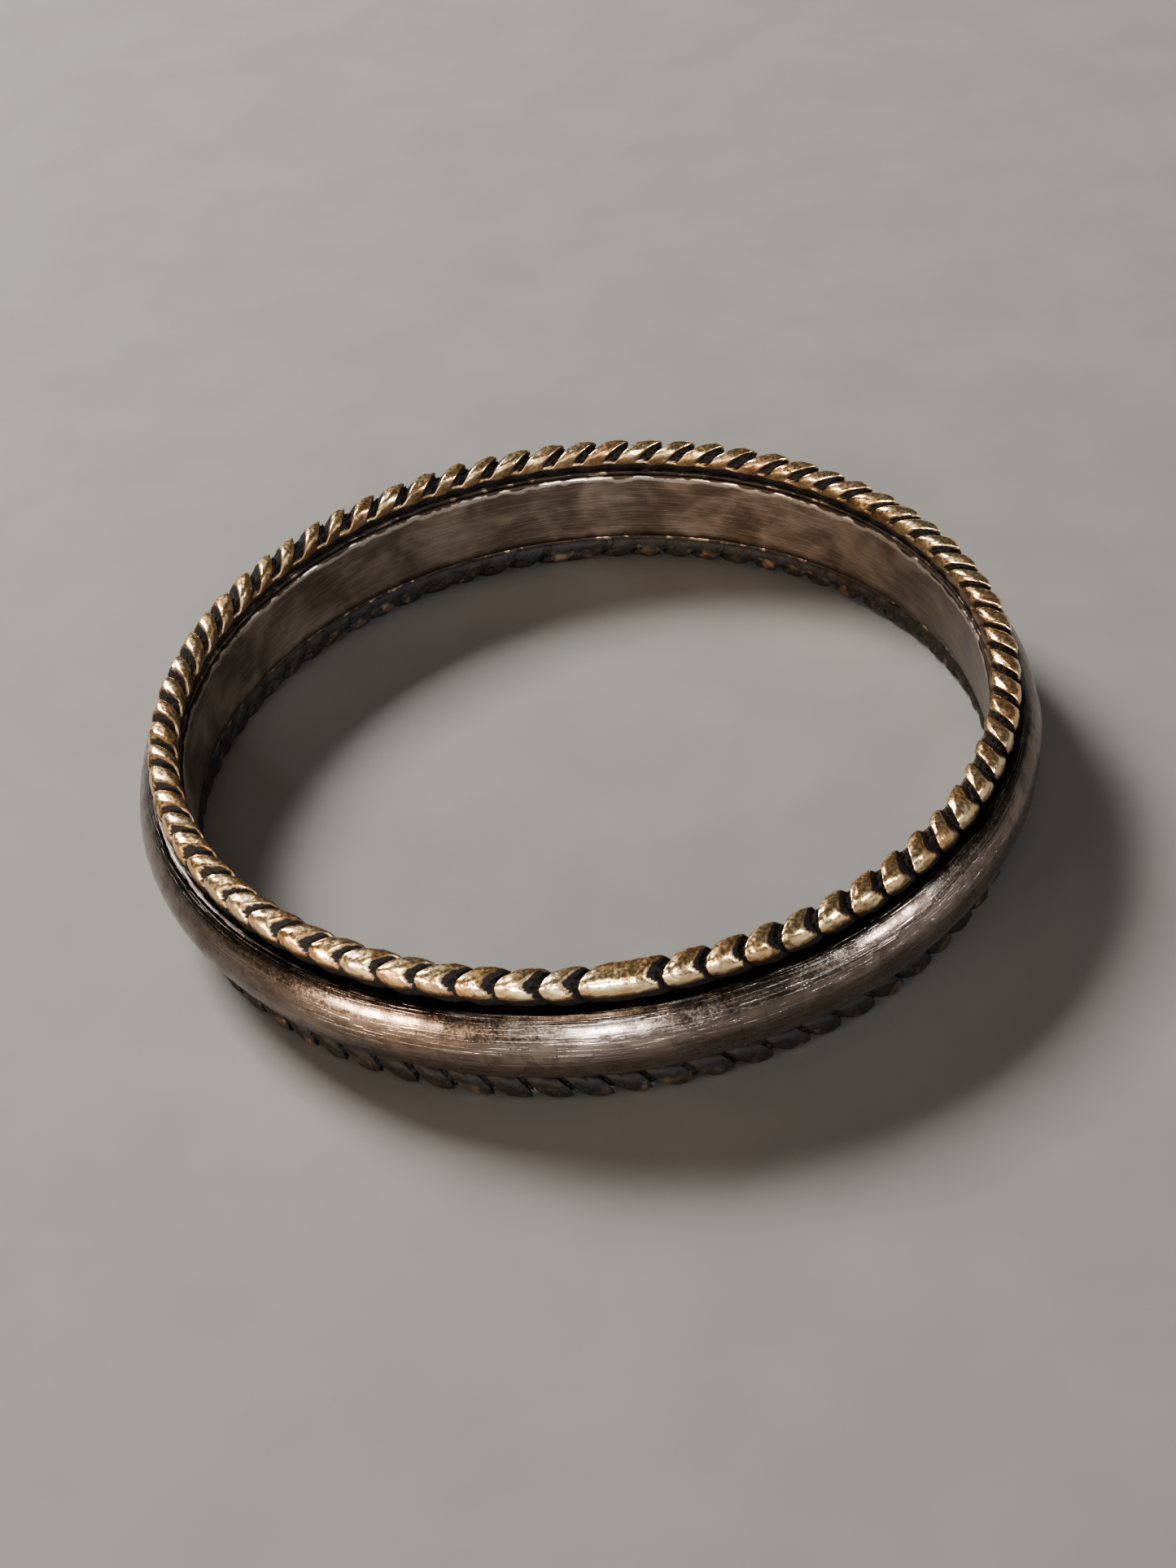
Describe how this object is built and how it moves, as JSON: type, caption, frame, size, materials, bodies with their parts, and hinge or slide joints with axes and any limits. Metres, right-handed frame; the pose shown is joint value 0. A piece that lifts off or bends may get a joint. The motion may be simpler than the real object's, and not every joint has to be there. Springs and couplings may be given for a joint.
{
  "type": "spinner finger ring",
  "caption": "Finger ring with a domed silver band that spins on a plain sleeve between grooved gold rope rims.",
  "frame": {"origin": "on the finger axis, in the plane that the lower rope rests on", "axes": "+Z along the finger axis, away from the surface the ring lies on; the upper rope's closing lobe is near -Y"},
  "size_m": [0.0208, 0.0208, 0.0034],
  "materials": {
    "sleeve_silver": "matte, finely scratched, browned by wear",
    "band_silver": "satin, oxidised and scratched",
    "rope_gold": "worn bright on the lobes, black in the grooves",
    "solder": "dull, uneven"
  },
  "bodies": {
    "sleeve": {"inner_sleeve": "sleeve_silver", "upper_rope": "rope_gold", "upper_rope_joint": "rope_gold", "upper_solder_seam": "solder", "lower_rope": "rope_gold", "lower_rope_joint": "rope_gold", "lower_solder_seam": "solder"},
    "band": {"centre_band": "band_silver"}
  },
  "joints": [
    {"name": "band_spin", "type": "hinge", "parent": "sleeve", "child": "band", "pos_m": [0, 0, 0.0017], "axis": [0, 0, 1], "continuous": true}
  ]
}
